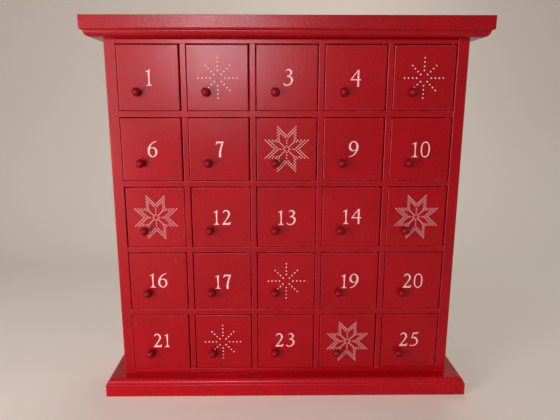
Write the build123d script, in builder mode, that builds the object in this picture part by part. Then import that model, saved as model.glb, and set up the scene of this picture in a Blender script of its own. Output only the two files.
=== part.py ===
from build123d import *
import os

# Wooden advent calendar: a shallow painted cabinet with a grid of small inset doors.
# Sizes are in millimetres. +Z is up, -Y is the front, and the origin is the middle of the
# base's underside.

# The grid of compartments, numbered from the top left like lines of text
rows = 5
columns = 5
opening_w = 60.4
opening_h = 62.1

# The case
case_d = 70.0
side_t = 10.8
rail_t = 4.7
shelf_t = 6.0
divider_t = 5.6
back_t = 3.0
rabbet_w = 5.0
lap_share = 0.5
case_edge_r = 0.6
side_corner_r = 0.9

# The crown and the base: boards that stand out past the case, with a moulded edge
board_t = 18.6
overhang = 16.6
crown_round = 5.6
crown_step = 2.7
crown_edge_r = 2.2
base_round = 4.9
base_step = 1.2
base_edge_r = 1.0
step_h = 0.3
outer_edge_r = 0.6

# The doors, flush with the case's front
door_t = 7.0
side_gap = 0.8
top_gap = 0.8
bottom_gap = 0.4
door_edge_r = 0.6
hinge_edge_r = 1.2
# How far each door hangs to the right of the middle of its opening, line by line
door_shifts = [
    [-0.4, -0.3, 0.1, -0.15, -0.2],
    [-0.4, -0.4, 0.0, -0.3, -0.3],
    [0.4, 0.4, 0.3, -0.2, -0.3],
    [0.0, 0.2, 0.3, -0.1, 0.0],
    [-0.3, 0.0, 0.0, -0.2, 0.1],
]

# The hinge pins: plain pins pressed into the shelves and rails, running in the doors
pin_r = 1.0
pin_clearance = 0.05
pin_end_gap = 0.1
pin_seat = 2.6
pin_reach = 4.0
pivot_in = 3.5
pivot_back = 2.2

# The knobs: turned balls, each with a tenon glued into its door
ball_r = 4.25
knob_reach = 9.2
neck_r = 2.4
tenon_r = 2.0
tenon_len = 5.0
knob_in = 18.7
# How high the knobs sit above their compartments' floors, line by line
knob_ups = [17.8, 17.8, 17.5, 19.0, 19.3]

# The stops: strips on each compartment's left wall, just behind the door
stop_w = 3.0
stop_d = 3.0
stop_len = 36.0
stop_gap = 0.3

# What follows from those sizes
pitch_x = opening_w + divider_t
pitch_z = opening_h + shelf_t
body_w = columns * pitch_x - divider_t + 2 * side_t
body_h = rows * pitch_z - shelf_t + 2 * rail_t
inner_w = body_w - 2 * side_t
inner_d = case_d - back_t
board_w = body_w + 2 * overhang
board_d = case_d + overhang
total_h = body_h + 2 * board_t
back_y = board_d / 2
front_y = back_y - case_d
inner_y = front_y + inner_d / 2
mid_z = total_h / 2
door_w = opening_w - 2 * side_gap
door_h = opening_h - top_gap - bottom_gap
pivot_y = front_y + pivot_back


def opening_left(column):
    """X of a compartment's left wall."""
    return -inner_w / 2 + column * pitch_x


def opening_floor(row):
    """Z of a compartment's floor, with row 0 at the top."""
    return board_t + rail_t + (rows - 1 - row) * pitch_z


def door_left(row, column):
    """X of a door's free edge."""
    return opening_left(column) + side_gap + door_shifts[row % 5][column % 5]


def pivot_x(row, column):
    """X of a door's hinge line."""
    return door_left(row, column) + door_w - pivot_in


def knob_place(row, column):
    """X and Z of a knob's axis."""
    return opening_left(column) + knob_in, opening_floor(row) + knob_ups[row % 5]


def places():
    """Every compartment's row and column."""
    return [(row, column) for row in range(rows) for column in range(columns)]


def lower_pin_ends():
    """Where the hinge lines come out of the compartments' floors."""
    return [(pivot_x(r, c), pivot_y, opening_floor(r)) for r, c in places()]


def upper_pin_ends():
    """Where the hinge lines come out of the compartments' ceilings."""
    return [(pivot_x(r, c), pivot_y, opening_floor(r) + opening_h) for r, c in places()]


def round_front_edges(builder, direction):
    """Ease the long front edges of a board."""
    front = builder.edges().filter_by(direction).group_by(Axis.Y)[0]
    fillet(front, case_edge_r)


def moulded_board(edge_round, step, edge_r):
    """A board with its moulding on the front and the ends, fascia down, on the ground."""
    fascia = board_t - edge_round
    with BuildPart() as board:
        with BuildSketch():
            Rectangle(board_w, board_d)
        extrude(amount=fascia)
        upper = board.faces().sort_by(Axis.Z)[-1].edges().sort_by(Axis.Y)[:-1]
        fillet(upper, edge_r)
        lower = board.faces().sort_by(Axis.Z)[0].edges().sort_by(Axis.Y)[:-1]
        fillet(lower, outer_edge_r)
        with BuildSketch(Plane.XY.offset(fascia)):
            with Locations((0, step / 2)):
                Rectangle(board_w - 2 * step, board_d - step)
        extrude(amount=edge_round)
        top = board.faces().sort_by(Axis.Z)[-1].edges().sort_by(Axis.Y)[:-1]
        fillet(top, edge_round - step_h)
    return board.part


def side_board(sign):
    """One side of the case, with a rabbet for the back panel."""
    with BuildPart() as side:
        with BuildSketch(Plane.XY.offset(board_t)):
            with Locations((sign * (body_w - side_t) / 2, front_y + case_d / 2)):
                Rectangle(side_t, case_d)
            with Locations((sign * (inner_w + rabbet_w) / 2, back_y - back_t / 2)):
                Rectangle(rabbet_w, back_t, mode=Mode.SUBTRACT)
        extrude(amount=body_h)
        front = side.edges().filter_by(Axis.Z).group_by(Axis.Y)[0]
        fillet(front.sort_by(Axis.X)[0 if sign < 0 else -1], side_corner_r)
        front = side.edges().filter_by(Axis.Z).group_by(Axis.Y)[0]
        fillet(front.sort_by(Axis.X)[-1 if sign < 0 else 0], case_edge_r)
    return side


def door_panel(row, column):
    """A door with its front edge rounded at the hinge, its two pin holes and its knob hole."""
    left = door_left(row, column)
    bottom = opening_floor(row) + bottom_gap
    with BuildPart() as door:
        with BuildSketch(Plane.XY.offset(bottom)) as plan:
            with Locations((left + door_w / 2, front_y + door_t / 2)):
                Rectangle(door_w, door_t)
            hinge_edge = plan.vertices().group_by(Axis.X)[-1].sort_by(Axis.Y)[0]
            fillet(hinge_edge, hinge_edge_r)
        extrude(amount=door_h)
        free_edges = door.edges().filter_by(Axis.Z).group_by(Axis.X)[0]
        fillet(free_edges, door_edge_r)
        rims = door.faces().sort_by(Axis.Z)[-1].edges() + door.faces().sort_by(Axis.Z)[0].edges()
        fillet(rims, door_edge_r)
        for level, depth in ((bottom, 1), (bottom + door_h, -1)):
            with BuildSketch(Plane.XY.offset(level)):
                with Locations((pivot_x(row, column), pivot_y)):
                    Circle(pin_r + pin_clearance)
            extrude(amount=depth * (pin_reach + pin_end_gap), mode=Mode.SUBTRACT)
        with BuildSketch(Plane.XZ.offset(-front_y)):
            with Locations(knob_place(row, column)):
                Circle(tenon_r)
        extrude(amount=-tenon_len, mode=Mode.SUBTRACT)
    return door


def turned_knob(row, column):
    """A ball knob on a short neck, with its tenon in the door."""
    x, z = knob_place(row, column)
    ball_y = ball_r - knob_reach
    neck_y = ball_y + (ball_r ** 2 - neck_r ** 2) ** 0.5
    with BuildPart() as knob:
        with BuildSketch(Plane((x, front_y, z))):
            with BuildLine():
                Polyline((0, -knob_reach), (0, tenon_len), (tenon_r, tenon_len), (tenon_r, 0),
                         (neck_r, 0), (neck_r, neck_y))
                ThreePointArc((neck_r, neck_y), (ball_r, ball_y), (0, -knob_reach))
            make_face()
        revolve(axis=Axis((x, front_y, z), (0, 1, 0)))
    return knob


with BuildPart() as base_board:
    add(moulded_board(base_round, base_step, base_edge_r))
base_board.part.label = "base_board"

crown_blank = moulded_board(crown_round, crown_step, crown_edge_r)
with BuildPart() as crown_board:
    mirror(crown_blank, about=Plane.XY.offset(mid_z))
crown_board.part.label = "crown_board"

side_left = side_board(-1)
side_left.part.label = "side_left"

side_right = side_board(1)
side_right.part.label = "side_right"

# The pins come first, because they cut their own seats in the boards that hold them
with BuildPart() as hinge_pins:
    for x, y, z in lower_pin_ends():
        with BuildSketch(Plane.XY.offset(z - pin_seat)):
            with Locations((x, y)):
                Circle(pin_r)
        extrude(amount=pin_seat + bottom_gap + pin_reach)
    for x, y, z in upper_pin_ends():
        with BuildSketch(Plane.XY.offset(z + pin_seat)):
            with Locations((x, y)):
                Circle(pin_r)
        extrude(amount=-(pin_seat + top_gap + pin_reach))
hinge_pins.part.label = "hinge_pins"

# The case's own floor and ceiling, between the sides
with BuildPart() as case_ends:
    with BuildSketch(Plane.XY.offset(board_t)):
        with Locations((0, inner_y)):
            Rectangle(inner_w, inner_d)
    extrude(amount=rail_t)
    with BuildSketch(Plane.XY.offset(total_h - board_t)):
        with Locations((0, inner_y)):
            Rectangle(inner_w, inner_d)
    extrude(amount=-rail_t)
    add(hinge_pins.part, mode=Mode.SUBTRACT)
    round_front_edges(case_ends, Axis.X)
case_ends.part.label = "case_ends"

# The shelves run right across, and have slots from the back for the dividers
with BuildPart() as shelves:
    for row in range(rows - 1):
        top = opening_floor(row)
        with BuildSketch(Plane.XY.offset(top)):
            with Locations((0, inner_y)):
                Rectangle(inner_w, inner_d)
            for column in range(1, columns):
                slot_d = inner_d * lap_share
                with Locations((opening_left(column) - divider_t / 2, front_y + inner_d - slot_d / 2)):
                    Rectangle(divider_t, slot_d, mode=Mode.SUBTRACT)
        extrude(amount=-shelf_t)
    add(hinge_pins.part, mode=Mode.SUBTRACT)
    round_front_edges(shelves, Axis.X)
shelves.part.label = "shelves"

# The dividers stand between the case's floor and ceiling, with slots from the front
with BuildPart() as dividers:
    for column in range(1, columns):
        middle = opening_left(column) - divider_t / 2
        with BuildSketch(Plane.YZ.offset(middle - divider_t / 2)):
            with Locations((inner_y, mid_z)):
                Rectangle(inner_d, body_h - 2 * rail_t)
            for row in range(rows - 1):
                slot_d = inner_d * (1 - lap_share)
                with Locations((front_y + slot_d / 2, opening_floor(row) - shelf_t / 2)):
                    Rectangle(slot_d, shelf_t, mode=Mode.SUBTRACT)
        extrude(amount=divider_t)
    round_front_edges(dividers, Axis.Z)
dividers.part.label = "dividers"

with BuildPart() as back_panel:
    with BuildSketch(Plane.XZ.offset(-back_y)):
        with Locations((0, mid_z)):
            Rectangle(inner_w + 2 * rabbet_w, body_h)
    extrude(amount=back_t)
back_panel.part.label = "back_panel"

with BuildPart() as door_stops:
    for row, column in places():
        stop_y = front_y + door_t + stop_gap
        stop_z = opening_floor(row) + (opening_h - stop_len) / 2
        with BuildSketch(Plane.XY.offset(stop_z)):
            with Locations((opening_left(column) + stop_w / 2, stop_y + stop_d / 2)):
                Rectangle(stop_w, stop_d)
        extrude(amount=stop_len)
door_stops.part.label = "door_stops"

doors = []
knobs = []
for number, (row, column) in enumerate(places(), start=1):
    door = door_panel(row, column)
    door.part.label = f"door_{number:02d}"
    doors.append(door)
    knob = turned_knob(row, column)
    knob.part.label = f"knob_{number:02d}"
    knobs.append(knob)

os.makedirs("parts", exist_ok=True)
export_step(base_board.part, "parts/base_board.step")
export_step(crown_board.part, "parts/crown_board.step")
export_step(side_left.part, "parts/side_left.step")
export_step(side_right.part, "parts/side_right.step")
export_step(case_ends.part, "parts/case_ends.step")
export_step(shelves.part, "parts/shelves.step")
export_step(dividers.part, "parts/dividers.step")
export_step(back_panel.part, "parts/back_panel.step")
export_step(hinge_pins.part, "parts/hinge_pins.step")
export_step(door_stops.part, "parts/door_stops.step")
for door in doors:
    export_step(door.part, f"parts/{door.part.label}.step")
for knob in knobs:
    export_step(knob.part, f"parts/{knob.part.label}.step")
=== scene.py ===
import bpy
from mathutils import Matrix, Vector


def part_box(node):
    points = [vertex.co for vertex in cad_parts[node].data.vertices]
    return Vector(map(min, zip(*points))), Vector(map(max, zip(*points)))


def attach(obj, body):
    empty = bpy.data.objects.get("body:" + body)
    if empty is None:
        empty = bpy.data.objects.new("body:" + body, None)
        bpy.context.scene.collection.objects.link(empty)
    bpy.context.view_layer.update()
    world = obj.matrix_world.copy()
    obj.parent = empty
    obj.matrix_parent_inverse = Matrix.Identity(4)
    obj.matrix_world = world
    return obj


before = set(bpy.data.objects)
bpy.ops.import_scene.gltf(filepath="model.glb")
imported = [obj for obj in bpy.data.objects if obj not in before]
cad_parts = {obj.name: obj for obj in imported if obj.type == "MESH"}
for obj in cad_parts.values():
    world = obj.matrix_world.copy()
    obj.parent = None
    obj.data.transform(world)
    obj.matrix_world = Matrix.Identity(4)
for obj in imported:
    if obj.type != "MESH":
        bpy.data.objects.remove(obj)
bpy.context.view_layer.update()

import math

import bmesh
import bpy
from mathutils import Euler, Matrix, Vector

MM = 0.001
ROWS = 5
COLUMNS = 5
DOOR_COUNT = ROWS * COLUMNS

# ---------------------------------------------------------------- camera

# Turns are in degrees, lens and sensor in camera millimetres, the shift in sensor widths
CAMERA_PLACE = Vector((-18.1, -531.7, 302.1)) * MM
CAMERA_DOWN = 12.347
CAMERA_RIGHT = 0.625
CAMERA_LENS = 32.84
CAMERA_SENSOR = 36.0
CAMERA_SHIFT = (0.0109, 0.0108)
CAMERA_NEAREST = 10 * MM

camera_data = bpy.data.cameras.new("camera")
camera_data.sensor_width = CAMERA_SENSOR
camera_data.sensor_fit = "HORIZONTAL"
camera_data.lens = CAMERA_LENS
camera_data.shift_x, camera_data.shift_y = CAMERA_SHIFT
camera_data.clip_start = CAMERA_NEAREST
camera = bpy.data.objects.new("camera", camera_data)
camera.location = CAMERA_PLACE
camera.rotation_euler = Euler((math.radians(90 - CAMERA_DOWN), 0, math.radians(-CAMERA_RIGHT)))
bpy.context.scene.collection.objects.link(camera)
bpy.context.scene.camera = camera
bpy.context.scene.view_settings.view_transform = "Standard"


# ---------------------------------------------------------------- materials

def new_material(name):
    """A material with an empty surface shader; returns it with its tree, shader and place."""
    material = bpy.data.materials.new(name)
    material.use_nodes = True
    tree = material.node_tree
    shader = tree.nodes["Principled BSDF"]
    place = tree.nodes.new("ShaderNodeTexCoord").outputs["Object"]
    return material, tree, shader, place


def noise(tree, place, scale, detail=2.0, roughness=0.5, stretch=(1, 1, 1)):
    """Cloudy noise with so many clouds to the metre, squeezed along an axis by stretch."""
    mapping = tree.nodes.new("ShaderNodeMapping")
    mapping.inputs["Scale"].default_value = stretch
    tree.links.new(place, mapping.inputs["Vector"])
    texture = tree.nodes.new("ShaderNodeTexNoise")
    texture.inputs["Scale"].default_value = scale
    texture.inputs["Detail"].default_value = detail
    texture.inputs["Roughness"].default_value = roughness
    tree.links.new(mapping.outputs["Vector"], texture.inputs["Vector"])
    return texture.outputs["Fac"]


def ramp(tree, value, low, high, out_low=0.0, out_high=1.0):
    """Map low..high to out_low..out_high, held at both ends."""
    node = tree.nodes.new("ShaderNodeMapRange")
    node.inputs["From Min"].default_value = low
    node.inputs["From Max"].default_value = high
    node.inputs["To Min"].default_value = out_low
    node.inputs["To Max"].default_value = out_high
    tree.links.new(value, node.inputs["Value"])
    return node.outputs["Result"]


def mix_colours(tree, amount, colour_a, colour_b):
    """Mix two colours, each a tuple or a socket, by a socket."""
    node = tree.nodes.new("ShaderNodeMix")
    node.data_type = "RGBA"
    tree.links.new(amount, node.inputs["Factor"])
    for name, colour in (("A", colour_a), ("B", colour_b)):
        socket = [s for s in node.inputs if s.name == name and s.type == "RGBA"][0]
        if isinstance(colour, tuple):
            socket.default_value = (*colour, 1.0)
        else:
            tree.links.new(colour, socket)
    return [s for s in node.outputs if s.type == "RGBA"][0]


def bump(tree, shader, height, depth, before=None):
    """Raise the surface by up to so many metres, on top of any bump made before."""
    node = tree.nodes.new("ShaderNodeBump")
    node.inputs["Strength"].default_value = 1.0
    node.inputs["Distance"].default_value = depth
    tree.links.new(height, node.inputs["Height"])
    if before is not None:
        tree.links.new(before, node.inputs["Normal"])
    tree.links.new(node.outputs["Normal"], shader.inputs["Normal"])
    return node.outputs["Normal"]


def math_node(tree, operation, *values):
    """Join sockets or plain numbers by one operation."""
    node = tree.nodes.new("ShaderNodeMath")
    node.operation = operation
    for socket, value in zip(node.inputs, values):
        if isinstance(value, float):
            socket.default_value = value
        else:
            tree.links.new(value, socket)
    return node.outputs["Value"]


def vector_node(tree, operation, *values):
    """Join places or plain triples by one operation."""
    node = tree.nodes.new("ShaderNodeVectorMath")
    node.operation = operation
    for socket, value in zip(node.inputs, values):
        if isinstance(value, (tuple, Vector)):
            socket.default_value = value
        else:
            tree.links.new(value, socket)
    return node.outputs["Vector"]


# An axis on which the box doesn't repeat wraps only this far away, in metres
FAR = 10.0
# A repeat starts this share of the box's size before the box
WRAP_MARGIN = 0.05


def edge_distance(tree, place, low, high, pitch=(0, 0, 0)):
    """How far a point of a box's surface is from the box's nearest edge; the box may repeat."""
    start = Vector([low[i] - (high[i] - low[i]) * WRAP_MARGIN if pitch[i] else -FAR
                    for i in range(3)])
    end = Vector([start[i] + pitch[i] if pitch[i] else FAR for i in range(3)])
    place = vector_node(tree, "WRAP", place, end, start)
    inset = vector_node(tree, "MINIMUM", vector_node(tree, "SUBTRACT", place, Vector(low)),
                        vector_node(tree, "SUBTRACT", Vector(high), place))
    parts = tree.nodes.new("ShaderNodeSeparateXYZ")
    tree.links.new(inset, parts.inputs["Vector"])
    x, y, z = parts.outputs
    nearer = math_node(tree, "MINIMUM", x, y)
    further = math_node(tree, "MAXIMUM", x, y)
    return math_node(tree, "MAXIMUM", nearer, math_node(tree, "MINIMUM", further, z))


CHERRY = (0.500, 0.0022, 0.0100)
CHERRY_DEEP = (0.360, 0.0012, 0.0056)
# The paler edge colour: partly worn paint, partly a painted highlight on the rounded edges
CHERRY_WORN_HIGHLIT = (0.630, 0.0450, 0.0560)
# The colour of small dark specks
SPECK_DARK = (0.130, 0.0060, 0.0090)
WEAR_AND_HIGHLIGHT_FULL = 0.15 * MM
WEAR_AND_HIGHLIGHT_REACH = 1.1 * MM
PAINT_DULLNESS = (0.235, 0.275)
PAINT_SHINE = 0.28
GRAIN_DEPTH = 0.05 * MM
PEEL_DEPTH = 0.08 * MM
CROWN_PEEL_DEPTH = 0.13 * MM
STIPPLE_DEPTH = 0.05 * MM


def satin_paint(name, grain, box=None, pitch=(0, 0, 0), speck_amount=0.0, peel=PEEL_DEPTH, painted_light=1.0):
    """Rolled satin paint: soft mottling, orange peel, faint grain, and edges painted paler, partly
    as rubbed wear and partly as a painted highlight.
    """
    material, tree, shader, place = new_material(name)
    clouds = ramp(tree, noise(tree, place, 22), 0.3, 0.7, out_high=0.45)
    speckle = ramp(tree, noise(tree, place, 560, roughness=0.7), 0.40, 0.60, out_high=0.70)
    # painted_light above one lightens the whole paint, a painted highlight standing in for more
    # light falling there
    bright, deep = [tuple(part * painted_light for part in paint) for paint in (CHERRY, CHERRY_DEEP)]
    colour = mix_colours(tree, math_node(tree, "ADD", clouds, speckle), bright, deep)
    dullness = ramp(tree, noise(tree, place, 45, detail=4.0), 0.3, 0.7, *PAINT_DULLNESS)
    if box is not None:
        # Edges are painted paler, partly as rubbed wear and partly as a painted highlight where the
        # rounded edges catch the light
        edge = ramp(tree, edge_distance(tree, place, *box, pitch), WEAR_AND_HIGHLIGHT_FULL, WEAR_AND_HIGHLIGHT_REACH, 1.0, 0.0)
        rubbed_and_highlit = ramp(tree, noise(tree, place, 130, 3.0, 0.6), 0.38, 0.62, 0.10, 0.62)
        colour = mix_colours(tree, math_node(tree, "MULTIPLY", edge, rubbed_and_highlit), colour, CHERRY_WORN_HIGHLIT)
    # Small dark specks, gathered in patches
    if speck_amount:
        specks = ramp(tree, noise(tree, place, 620, roughness=0.6), 0.56, 0.64)
        patches = ramp(tree, noise(tree, place, 16), 0.42, 0.58, out_high=speck_amount)
        colour = mix_colours(tree, math_node(tree, "MULTIPLY", specks, patches), colour, SPECK_DARK)
    tree.links.new(colour, shader.inputs["Base Color"])
    tree.links.new(dullness, shader.inputs["Roughness"])
    grained = bump(tree, shader, noise(tree, place, 160, 3.0, 0.6, grain), GRAIN_DEPTH)
    peeled = bump(tree, shader, noise(tree, place, 600), peel, grained)
    bump(tree, shader, noise(tree, place, 1100), STIPPLE_DEPTH, peeled)
    shader.inputs["Specular IOR Level"].default_value = PAINT_SHINE
    return material


KNOB_RED = (0.29, 0.002, 0.009)
KNOB_RED_DEEP = (0.23, 0.0015, 0.007)
KNOB_DULLNESS = (0.32, 0.42)
KNOB_SHINE = 0.20
TURNED_DEPTH = 0.03 * MM


def knob_paint():
    """Glossy paint over turned wood, a shade darker than the doors."""
    material, tree, shader, place = new_material("knob_gloss")
    mottling = ramp(tree, noise(tree, place, 300), 0.35, 0.65)
    colour = mix_colours(tree, mottling, KNOB_RED, KNOB_RED_DEEP)
    tree.links.new(colour, shader.inputs["Base Color"])
    dullness = ramp(tree, noise(tree, place, 200), 0.3, 0.7, *KNOB_DULLNESS)
    tree.links.new(dullness, shader.inputs["Roughness"])
    bump(tree, shader, noise(tree, place, 900), TURNED_DEPTH)
    shader.inputs["Specular IOR Level"].default_value = KNOB_SHINE
    return material


NUMBER_CREAM = (1.0, 0.72, 0.65), (0.95, 0.61, 0.55)
STAR_CREAM = (1.0, 0.84, 0.77), (0.98, 0.72, 0.66)
INK_DULLNESS = (0.4, 0.6)


def cream_ink(name, light, dark):
    """The cream of the painted numbers and dots."""
    material, tree, shader, place = new_material(name)
    patches = ramp(tree, noise(tree, place, 500), 0.35, 0.65)
    colour = mix_colours(tree, patches, light, dark)
    tree.links.new(colour, shader.inputs["Base Color"])
    dullness = ramp(tree, noise(tree, place, 400), 0.3, 0.7, *INK_DULLNESS)
    tree.links.new(dullness, shader.inputs["Roughness"])
    return material


# Steel much darker than bare steel: painted shade for the pins in the door gaps
STEEL_DARKENED_LOW = (0.05, 0.045, 0.04)
STEEL_DARKENED_HIGH = (0.10, 0.09, 0.08)
STEEL_DULLNESS = (0.28, 0.45)


def plain_steel():
    """Drawn steel wire and nail heads, darkened as painted shade so that the pins seen in the door
    gaps stay dark.
    """
    material, tree, shader, place = new_material("plain_steel")
    colour = mix_colours(tree, noise(tree, place, 900), STEEL_DARKENED_LOW, STEEL_DARKENED_HIGH)
    tree.links.new(colour, shader.inputs["Base Color"])
    shader.inputs["Metallic"].default_value = 1.0
    dullness = ramp(tree, noise(tree, place, 500), 0.3, 0.7, *STEEL_DULLNESS)
    tree.links.new(dullness, shader.inputs["Roughness"])
    return material


BOARD_LIGHT = (0.27, 0.15, 0.075)
BOARD_DARK = (0.17, 0.09, 0.042)
BOARD_CLOUD = (0.22, 0.125, 0.065)
BOARD_DULLNESS = (0.5, 0.75)
FIBRE_DEPTH = 0.08 * MM


def hardboard():
    """Brown hardboard: pressed fibres in a smooth face."""
    material, tree, shader, place = new_material("hardboard")
    fibres = noise(tree, place, 260, 6.0, 0.7, (1, 1, 0.45))
    clouds = noise(tree, place, 14, detail=3.0)
    colour = mix_colours(tree, ramp(tree, fibres, 0.3, 0.7), BOARD_LIGHT, BOARD_DARK)
    colour = mix_colours(tree, ramp(tree, clouds, 0.3, 0.7, out_high=0.5), colour, BOARD_CLOUD)
    tree.links.new(colour, shader.inputs["Base Color"])
    tree.links.new(ramp(tree, fibres, 0.3, 0.7, *BOARD_DULLNESS), shader.inputs["Roughness"])
    bump(tree, shader, fibres, FIBRE_DEPTH)
    return material


def dress(node, material):
    """Give a CAD node its material."""
    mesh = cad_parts[node].data
    mesh.materials.clear()
    mesh.materials.append(material)


SHELF_T = 6.0 * MM
DIVIDER_T = 5.6 * MM
CROWN_FASCIA = 13.0 * MM
BASE_FASCIA = 13.7 * MM


def first_of(node, axis, thickness, count):
    """The first of some evenly spaced boards, as a box, and the pitch between them."""
    low, high = [list(corner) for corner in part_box(node)]
    pitch = [0, 0, 0]
    pitch[axis] = (high[axis] - low[axis] - thickness) / (count - 1)
    high[axis] = low[axis] + thickness
    return (low, high), pitch


GRAIN_UP = (1, 1, 0.12)
GRAIN_ACROSS = (0.12, 1, 1)
shelf_box, shelf_pitch = first_of("shelves", 2, SHELF_T, ROWS - 1)
divider_box, divider_pitch = first_of("dividers", 0, DIVIDER_T, COLUMNS - 1)
door_pitch = (divider_pitch[0], 0, shelf_pitch[2])
# Door 21 is the lowest at the left, where the doors' paler edges, part wear and part painted
# highlight, start to repeat
door_paint = satin_paint("door_paint", GRAIN_UP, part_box("door_21"), door_pitch)
crown_low, crown_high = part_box("crown_board")
crown_fascia = (crown_low.x, crown_low.y, crown_high.z - CROWN_FASCIA), tuple(crown_high)
base_low, base_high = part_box("base_board")
base_fascia = tuple(base_low), (base_high.x, base_high.y, base_low.z + BASE_FASCIA)
crown_paint = satin_paint("crown_paint", GRAIN_ACROSS, crown_fascia, speck_amount=0.75,
                          peel=CROWN_PEEL_DEPTH)
# The base's paint is lightened throughout as painted light, for the brighter light the base catches
# at the front
base_paint_lit = satin_paint("base_paint_lit", GRAIN_ACROSS, base_fascia, speck_amount=0.35, painted_light=1.28)
shelf_paint = satin_paint("shelf_paint", GRAIN_ACROSS, shelf_box, shelf_pitch)
rail_paint = satin_paint("rail_paint", GRAIN_ACROSS)
divider_paint = satin_paint("divider_paint", GRAIN_UP, divider_box, divider_pitch)
left_paint = satin_paint("left_side_paint", GRAIN_UP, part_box("side_left"), speck_amount=0.25)
right_paint = satin_paint("right_side_paint", GRAIN_UP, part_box("side_right"), speck_amount=0.25)
gloss = knob_paint()
number_ink = cream_ink("number_ink", *NUMBER_CREAM)
star_ink = cream_ink("star_ink", *STAR_CREAM)
steel = plain_steel()
brown_board = hardboard()

dress("crown_board", crown_paint)
dress("base_board", base_paint_lit)
dress("case_ends", rail_paint)
dress("shelves", shelf_paint)
dress("dividers", divider_paint)
dress("door_stops", rail_paint)
dress("side_left", left_paint)
dress("side_right", right_paint)
dress("back_panel", brown_board)
dress("hinge_pins", steel)
for number in range(1, DOOR_COUNT + 1):
    dress(f"door_{number:02d}", door_paint)
    dress(f"knob_{number:02d}", gloss)


# ---------------------------------------------------------------- pieces

def add_piece(name, mesh, material, body):
    """Show a mesh as a piece that rides on a body."""
    mesh.materials.clear()
    mesh.materials.append(material)
    piece = bpy.data.objects.new(name, mesh)
    bpy.context.scene.collection.objects.link(piece)
    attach(piece, body)
    return piece


def door_centre(number):
    """The middle of a door's front face."""
    low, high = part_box(f"door_{number:02d}")
    return Vector(((low.x + high.x) / 2, low.y, (low.z + high.z) / 2))


# The digits, drawn on a body so many units high: corners are "c", smooth points "s"
BODY_UNITS = 100
DIGIT_H = 15.6 * MM
DIGIT_PROUD = 0.06 * MM
DIGIT_SUNK = 0.03 * MM
DIGITS = {
    "0": (60, [
        [(30, 101, "s"), (60, 50, "s"), (30, -1, "s"), (0, 50, "s")],
        [(30, 92, "s"), (11, 50, "s"), (30, 8, "s"), (49, 50, "s")],
    ]),
    "1": (42, [
        [(0, 0, "c"), (0, 4, "c"), (9, 6, "s"), (15, 13, "s"), (15, 84, "c"), (1, 81, "c"),
         (1, 86, "c"), (22, 96, "c"), (29, 102, "c"), (29, 13, "s"), (34, 6, "s"), (42, 4, "c"),
         (42, 0, "c")],
    ]),
    "2": (59, [
        [(0, 0, "c"), (0, 4, "c"), (17, 26, "s"), (35, 55, "s"), (40, 76, "s"), (27, 91, "s"),
         (11, 81, "s"), (4, 78, "c"), (10, 92, "s"), (29, 101, "s"), (54, 78, "s"), (48, 56, "s"),
         (31, 31, "s"), (20, 14, "c"), (44, 14, "c"), (53, 22, "c"), (59, 22, "c"), (54, 0, "c")],
    ]),
    "3": (62, [
        [(14, 89, "c"), (24, 98, "s"), (38, 101, "s"), (57, 81, "s"), (51, 66, "s"), (42, 59, "c"),
         (56, 51, "s"), (62, 36, "s"), (50, 9, "s"), (24, -1, "s"), (8, 3, "s"), (0, 17, "c"),
         (6, 18, "c"), (12, 11, "s"), (27, 8, "s"), (42, 17, "s"), (47, 35, "s"), (41, 48, "s"),
         (23, 52, "c"), (23, 60, "c"), (38, 66, "s"), (43, 79, "s"), (33, 91, "s"), (22, 89, "s"),
         (17, 83, "c")],
    ]),
    "4": (66, [
        [(0, 38, "c"), (0, 44, "c"), (44, 102, "c"), (55, 102, "c"), (55, 47, "c"), (66, 47, "c"),
         (66, 38, "c"), (55, 38, "c"), (55, 0, "c"), (42, 0, "c"), (42, 38, "c")],
        [(12, 47, "c"), (42, 47, "c"), (42, 87, "c")],
    ]),
    "5": (58, [
        [(19, 101, "c"), (45, 101, "s"), (57, 106, "c"), (57, 99, "s"), (48, 89, "c"),
         (26, 89, "c"), (20, 68, "c"), (38, 67, "s"), (58, 38, "s"), (46, 9, "s"), (22, -1, "s"),
         (0, 3, "c"), (2, 10, "c"), (23, 8, "s"), (40, 17, "s"), (45, 37, "s"), (30, 57, "s"),
         (10, 56, "c")],
    ]),
    "6": (62, [
        [(58, 102, "c"), (36, 95, "s"), (13, 74, "s"), (0, 37, "s"), (9, 10, "s"), (31, -1, "s"),
         (54, 11, "s"), (62, 33, "s"), (55, 56, "s"), (36, 64, "s"), (19, 59, "c"), (26, 76, "s"),
         (41, 89, "s"), (61, 96, "c")],
        [(15, 36, "s"), (17, 51, "c"), (30, 56, "s"), (43, 49, "s"), (48, 32, "s"), (44, 15, "s"),
         (32, 7, "s"), (19, 17, "s")],
    ]),
    "7": (53, [
        [(0, 78, "c"), (7, 101, "c"), (53, 101, "c"), (53, 94, "c"), (41, 55, "s"), (36, 27, "s"),
         (37, 0, "c"), (21, 0, "c"), (21, 22, "s"), (27, 52, "s"), (39, 88, "c"), (13, 88, "c"),
         (5, 77, "c")],
    ]),
}
# The nine is the six turned half round: a point's height and its new height add up to this
NINE_TURN = 101
width, contours = DIGITS["6"]
DIGITS["9"] = (width, [[(width - x, NINE_TURN - y, kind) for x, y, kind in line]
                       for line in contours])
DIGIT_SPACE = 14

# How far each number sits to the right of its door's middle and above it, in millimetres
NUMBER_SHIFTS = {
    1: (0.5, 0.4), 3: (0.9, 0.6), 4: (0.0, -0.4),
    6: (0.5, 0.5), 7: (0.4, 0.2), 9: (0.3, 0.3), 10: (0.8, 0.0),
    12: (0.6, -0.1), 13: (0.2, -0.4), 14: (0.8, 0.4),
    16: (-0.4, 1.1), 17: (0.2, -0.6), 19: (0.6, -0.3), 20: (0.3, -0.2),
    21: (0.2, 1.9), 23: (-0.8, 1.8), 25: (-0.3, 1.9),
}
STROKE_IN = 0.18 * MM
CURVE_STEPS = 8
NUMBER_FORWARD = (DIGIT_PROUD - DIGIT_SUNK) / 2


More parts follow.
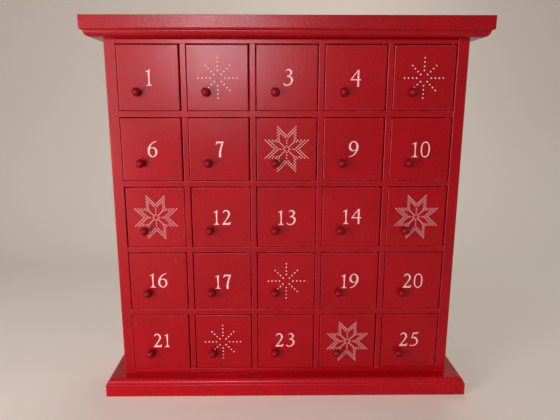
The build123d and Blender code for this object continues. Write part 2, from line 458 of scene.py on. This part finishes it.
def number_mesh(number):
    """A flat, slightly raised number in the front plane, centred on the origin."""
    text = str(number)
    width = sum(DIGITS[digit][0] for digit in text) + DIGIT_SPACE * (len(text) - 1)
    curve = bpy.data.curves.new("number_outline", "CURVE")
    curve.dimensions = "2D"
    curve.fill_mode = "BOTH"
    curve.resolution_u = CURVE_STEPS
    curve.extrude = (DIGIT_PROUD + DIGIT_SUNK) / 2
    curve.offset = -STROKE_IN
    unit = DIGIT_H / BODY_UNITS
    left = -width / 2
    for digit in text:
        advance, contours = DIGITS[digit]
        for points in contours:
            spline = curve.splines.new("BEZIER")
            spline.bezier_points.add(len(points) - 1)
            spline.use_cyclic_u = True
            for knot, (x, y, kind) in zip(spline.bezier_points, points):
                knot.co = ((left + x) * unit, (y - BODY_UNITS / 2) * unit, 0)
                knot.handle_left_type = knot.handle_right_type = "VECTOR" if kind == "c" else "AUTO"
        left += advance + DIGIT_SPACE
    outline = bpy.data.objects.new("number_outline", curve)
    bpy.context.scene.collection.objects.link(outline)
    bpy.context.view_layer.update()
    shown = outline.evaluated_get(bpy.context.evaluated_depsgraph_get())
    mesh = bpy.data.meshes.new_from_object(shown)
    bpy.data.objects.remove(outline)
    mesh.transform(Matrix.Rotation(math.radians(90), 4, "X"))
    return mesh


for number, (right, up) in NUMBER_SHIFTS.items():
    mesh = number_mesh(number)
    shift = Vector((right * MM, -NUMBER_FORWARD, up * MM))
    mesh.transform(Matrix.Translation(door_centre(number) + shift))
    add_piece(f"number_{number:02d}", mesh, number_ink, f"door_{number:02d}")


# A star is made of dots, each a place on the door in millimetres, seen from the front
DOT_PROUD = 0.12 * MM
DOT_SIDES = 12
DOT_TOP = 0.72
BIG_DOT_R = 0.84 * MM
SMALL_DOT_R = 0.62 * MM
STAR_ARMS = 8
DOTTED_STARS = [2, 5, 18, 22]
STITCHED_STARS = [8, 11, 15, 24]
STAR_SHIFTS = {5: (-0.5, 0), 8: (0, 0.4), 22: (-0.9, 0)}


def dotted_star():
    """Four dots along each of eight arms."""
    straight = [7.1, 10.9, 14.8, 18.7]
    slanted = [4.7, 8.5, 12.4, 16.3]
    dots = []
    for arm in range(STAR_ARMS):
        turn = math.radians(360 / STAR_ARMS * arm)
        for reach in straight if arm % 2 == 0 else slanted:
            dots.append((reach * math.cos(turn), reach * math.sin(turn)))
    return dots


def line_of_dots(start, end, count):
    """Evenly spaced dots from one place to another."""
    (x0, y0), (x1, y1) = start, end
    return [(x0 + (x1 - x0) * i / (count - 1), y0 + (y1 - y0) * i / (count - 1))
            for i in range(count)]


def stitched_star():
    """A knitted star: eight petals, each a band of stitches round an open middle."""
    quarter = line_of_dots((1.7, 1.6), (7.4, 7.2), 5)
    # the petal that points up
    quarter += line_of_dots((8.9, 21.75), (1.5, 14.5), 6)
    quarter += line_of_dots((7.4, 17.4), (1.5, 11.6), 5)
    quarter += line_of_dots((8.9, 18.9), (8.9, 10.2), 4)
    quarter += line_of_dots((7.4, 14.5), (7.4, 8.9), 3)
    # the petal that points out sideways
    quarter += line_of_dots((21.0, 8.75), (13.2, 1.45), 6)
    quarter += line_of_dots((17.5, 8.75), (9.7, 1.45), 6)
    quarter += line_of_dots((14.1, 8.75), (12.6, 7.3), 2)
    quarter += line_of_dots((10.7, 8.75), (9.4, 7.3), 2)
    dots = [(x * across, y * up) for across in (-1, 1) for up in (-1, 1) for x, y in quarter]
    for up in (-1, 1):
        dots += [(0, reach * up) for reach in (3.1, 5.9, 8.7, 13.0)]
        dots += [(reach * up, 0) for reach in (3.1, 6.0, 8.1, 11.6)]
    return dots


def dots_mesh(name, dots, radius):
    """Low round dots of paint on the front plane."""
    work = bmesh.new()
    for x, z in dots:
        place = Matrix.Translation((x * MM, 0, z * MM)) @ Matrix.Rotation(math.radians(90), 4, "X")
        bmesh.ops.create_cone(work, cap_ends=True, segments=DOT_SIDES, radius1=radius,
                              radius2=radius * DOT_TOP, depth=2 * DOT_PROUD, matrix=place)
    mesh = bpy.data.meshes.new(name)
    work.to_mesh(mesh)
    work.free()
    return mesh


for numbers, pattern, radius in ((DOTTED_STARS, dotted_star(), BIG_DOT_R),
                                 (STITCHED_STARS, stitched_star(), SMALL_DOT_R)):
    for number in numbers:
        name = f"star_{number:02d}"
        mesh = dots_mesh(name, pattern, radius)
        right, up = STAR_SHIFTS.get(number, (0, 0))
        shift = Vector((right * MM, 0, up * MM))
        mesh.transform(Matrix.Translation(door_centre(number) + shift))
        add_piece(name, mesh, star_ink, f"door_{number:02d}")


NAIL_R = 1.7 * MM
NAIL_TOP = 0.82
NAIL_SIDES = 20
NAIL_PROUD = 0.55 * MM
NAIL_RIM = 0.45 * NAIL_PROUD
NAIL_INSET = 2.4 * MM
NAIL_GAP = 62 * MM


def evenly(start, end, gap):
    """Places from start to end, no further apart than the gap."""
    steps = math.ceil((end - start) / gap)
    return [start + (end - start) * i / steps for i in range(steps + 1)]


def nail_places():
    """Nails round the back panel's border and along each shelf."""
    low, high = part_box("back_panel")
    left, right = low.x + NAIL_INSET, high.x - NAIL_INSET
    bottom, top = low.z + NAIL_INSET, high.z - NAIL_INSET
    places = [(x, z) for x in evenly(left, right, NAIL_GAP) for z in (bottom, top)]
    places += [(x, z) for x in (left, right) for z in evenly(bottom, top, NAIL_GAP)[1:-1]]
    for row in range(ROWS - 1):
        z = shelf_box[0][2] + SHELF_T / 2 + row * shelf_pitch[2]
        places += [(x, z) for x in evenly(left, right, 2 * NAIL_GAP)[1:-1]]
    return places


def nail_heads():
    """Low round nail heads on the back, each with a rounded rim."""
    work = bmesh.new()
    back_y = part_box("back_panel")[1].y
    for x, z in nail_places():
        place = Matrix.Translation((x, back_y, z)) @ Matrix.Rotation(math.radians(-90), 4, "X")
        bmesh.ops.create_cone(work, cap_ends=True, segments=NAIL_SIDES, radius1=NAIL_R,
                              radius2=NAIL_R * NAIL_TOP, depth=2 * NAIL_PROUD, matrix=place)
    rims = [edge for edge in work.edges if all(vertex.co.y > back_y for vertex in edge.verts)]
    bmesh.ops.bevel(work, geom=rims, offset=NAIL_RIM, offset_type="OFFSET", segments=2,
                    profile=0.5, affect="EDGES", material=-1)
    mesh = bpy.data.meshes.new("back_nails")
    work.to_mesh(mesh)
    work.free()
    return mesh


add_piece("back_nails", nail_heads(), steel, "case")


# ---------------------------------------------------------------- stage and light

def seen_directly(tree):
    """One where the camera, a reflection or glass looks at something, and nought for light."""
    ray = tree.nodes.new("ShaderNodeLightPath").outputs
    seen = math_node(tree, "MAXIMUM", ray["Is Camera Ray"], ray["Is Glossy Ray"])
    return math_node(tree, "MAXIMUM", seen, ray["Is Transmission Ray"])


FLOOR_PALE = (0.93, 0.835, 0.71)
FLOOR_PALE_DEEP = (0.89, 0.795, 0.67)
FLOOR_BOUNCE = (0.25, 0.20, 0.18)
FLOOR_DULLNESS = 0.9
# Where the stage is seen it shines a little by itself, so its far ends don't go dark
FLOOR_GLOW = 0.10
BEND_STEPS = 15


def stage_sweep():
    """A pale floor that curves up into a backdrop, and throws little light back up."""
    material, tree, shader, place = new_material("stage_pale")
    pale = mix_colours(tree, noise(tree, place, 3), FLOOR_PALE, FLOOR_PALE_DEEP)
    seen = seen_directly(tree)
    tree.links.new(mix_colours(tree, seen, FLOOR_BOUNCE, pale), shader.inputs["Base Color"])
    tree.links.new(pale, shader.inputs["Emission Color"])
    glow = math_node(tree, "MULTIPLY", seen, FLOOR_GLOW)
    tree.links.new(glow, shader.inputs["Emission Strength"])
    shader.inputs["Roughness"].default_value = FLOOR_DULLNESS
    work = bmesh.new()
    front, wall, bend, height, half = -9.0, 0.9, 0.5, 3.5, 9.0
    line = [(front, 0.0), (wall - bend, 0.0)]
    for step in range(1, BEND_STEPS + 1):
        turn = math.radians(90 * step / BEND_STEPS)
        line.append((wall - bend + bend * math.sin(turn), bend - bend * math.cos(turn)))
    line.append((wall, height))
    vertices = [work.verts.new((-half, y, z)) for y, z in line]
    edges = [work.edges.new(pair) for pair in zip(vertices, vertices[1:])]
    swept = bmesh.ops.extrude_edge_only(work, edges=edges)
    moved = [item for item in swept["geom"] if isinstance(item, bmesh.types.BMVert)]
    bmesh.ops.translate(work, verts=moved, vec=(2 * half, 0, 0))
    bmesh.ops.recalc_face_normals(work, faces=work.faces)
    mesh = bpy.data.meshes.new("stage_sweep")
    work.to_mesh(mesh)
    work.free()
    mesh.materials.append(material)
    sweep = bpy.data.objects.new("stage_sweep", mesh)
    for polygon in mesh.polygons:
        polygon.use_smooth = True
    bpy.context.scene.collection.objects.link(sweep)


LAMP_AIM = (0, 0, 0.2)


def area_lamp(name, place, size, watts, colour=(1, 1, 1)):
    """A soft lamp, square or oblong, that looks at the cabinet's middle."""
    data = bpy.data.lights.new(name, "AREA")
    data.shape = "RECTANGLE"
    data.size, data.size_y = size
    data.energy = watts
    data.color = colour
    lamp = bpy.data.objects.new(name, data)
    lamp.location = place
    lamp.rotation_euler = (Vector(LAMP_AIM) - Vector(place)).to_track_quat("-Z", "Y").to_euler()
    bpy.context.scene.collection.objects.link(lamp)
    return lamp


stage_sweep()
area_lamp("near_lamp", (-0.22, -1.53, 0.55), (0.22, 0.22), 7.0, (1.0, 0.92, 1.0))
area_lamp("wide_left_lamp", (-0.64, -0.62, 0.24), (0.5, 0.4), 4.9, (1.0, 0.94, 0.98))
area_lamp("lamp_right", (1.30, -0.02, 0.50), (0.9, 0.9), 2.2)
lamp_behind = area_lamp("lamp_behind", (0.20, 0.65, 0.95), (0.6, 0.6), 2.6)
lamp_behind.visible_camera = False

SURROUND_LIGHT = (0.130, 0.124, 0.128)
SURROUND_SEEN = (0.360, 0.325, 0.280)
world = bpy.data.worlds.new("surround")
bpy.context.scene.world = world
world.use_nodes = True
background = world.node_tree.nodes["Background"]
surround = mix_colours(world.node_tree, seen_directly(world.node_tree), SURROUND_LIGHT,
                       SURROUND_SEEN)
world.node_tree.links.new(surround, background.inputs["Color"])
background.inputs["Strength"].default_value = 1.0
